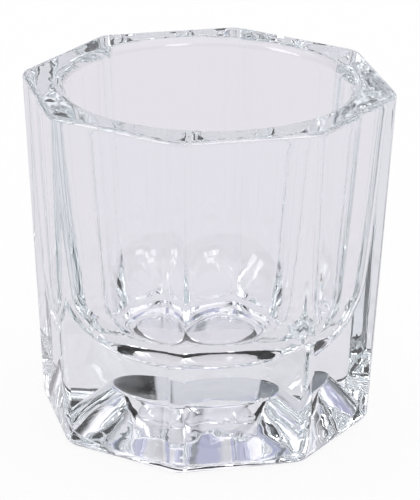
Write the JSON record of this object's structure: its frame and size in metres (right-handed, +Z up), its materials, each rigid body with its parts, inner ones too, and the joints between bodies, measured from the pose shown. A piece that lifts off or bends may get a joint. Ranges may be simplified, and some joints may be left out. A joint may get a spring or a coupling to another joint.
{
  "type": "dappen dish",
  "caption": "Small octagonal clear pressed-glass cup with flat tapering sides, a round bowl, a thick base and a recessed underside.",
  "frame": {"origin": "middle of the foot, on the surface the cup stands on", "axes": "+Z up along the bowl's axis; +X and +Y each point out through the middle of a flat side"},
  "size_m": [0.03, 0.03, 0.0303],
  "materials": {
    "clear_glass": "fire-polished clear pressed glass, smooth, very slightly cool"
  },
  "bodies": {
    "root": {"glass_cup": "clear_glass"}
  },
  "joints": []
}
